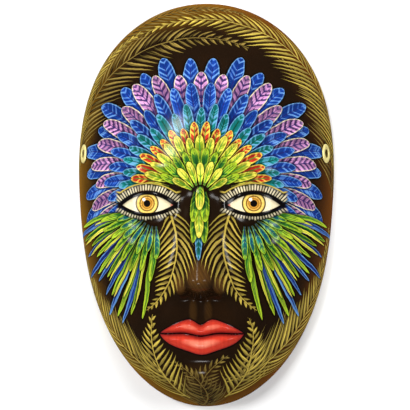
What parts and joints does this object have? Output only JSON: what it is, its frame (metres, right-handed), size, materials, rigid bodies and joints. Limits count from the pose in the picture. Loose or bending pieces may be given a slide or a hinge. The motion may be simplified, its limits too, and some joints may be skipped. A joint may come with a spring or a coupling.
{
  "type": "painted face mask",
  "caption": "Life-size moulded leather face mask, painted and varnished, hollow behind, with a brass eyelet at each temple for a cord.",
  "frame": {"origin": "centre of the mask's outline, on the plane of its flat cut edge", "axes": "+X to the viewer's right, +Y to the crown, +Z out of the face; the mask lies on its cut edge with the face up"},
  "size_m": [0.1586, 0.25, 0.0858],
  "materials": {
    "painted_leather": "wet-formed leather, stained near-black brown, hand painted and varnished, bare suede inside",
    "eyelet_brass": "pale stamped brass, slightly worn"
  },
  "bodies": {
    "root": {"mask_shell": "painted_leather", "left_eyelet": "eyelet_brass", "right_eyelet": "eyelet_brass"}
  },
  "joints": []
}
